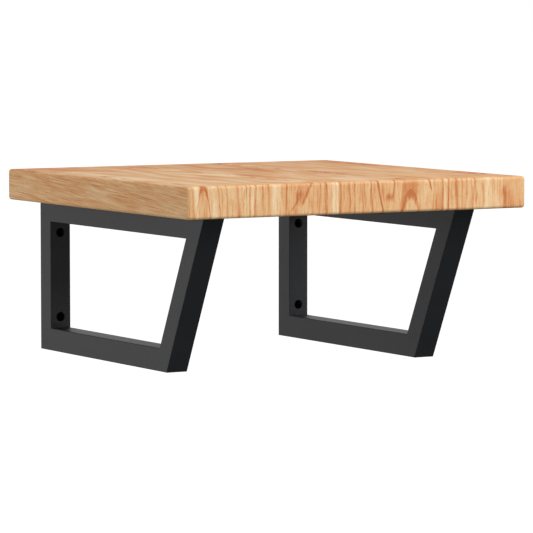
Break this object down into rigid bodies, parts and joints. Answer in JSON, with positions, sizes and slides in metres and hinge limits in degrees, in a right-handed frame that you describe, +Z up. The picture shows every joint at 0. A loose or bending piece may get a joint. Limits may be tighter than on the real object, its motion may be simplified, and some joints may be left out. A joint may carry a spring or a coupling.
{
  "type": "wall shelf",
  "caption": "Square solid-oak wall shelf on two slanted square-tube brackets, drilled for wall screws; for a wash basin, books or plants.",
  "frame": {"origin": "centre of the four wall holes, on the wall plane, which is the back of both brackets and of the slab", "axes": "+X to the right along the wall, +Y into the wall, +Z up; the front of the shelf faces -Y"},
  "size_m": [0.5, 0.5, 0.245],
  "materials": {
    "oak": "satin clear oil on sanded solid oak",
    "black_powder_coat": "fine matt black powder coat on welded steel tube",
    "zinc_screw": "zinc-plated steel"
  },
  "bodies": {
    "root": {"oak_stave_1": "oak", "oak_stave_2": "oak", "oak_stave_3": "oak", "oak_stave_4": "oak", "oak_stave_5": "oak", "oak_stave_6": "oak", "oak_stave_7": "oak", "left_rear_upright": "black_powder_coat", "left_top_rail": "black_powder_coat", "left_front_strut": "black_powder_coat", "left_bottom_rail": "black_powder_coat", "right_rear_upright": "black_powder_coat", "right_top_rail": "black_powder_coat", "right_front_strut": "black_powder_coat", "right_bottom_rail": "black_powder_coat", "left_slab_screws": "zinc_screw", "right_slab_screws": "zinc_screw"}
  },
  "joints": []
}
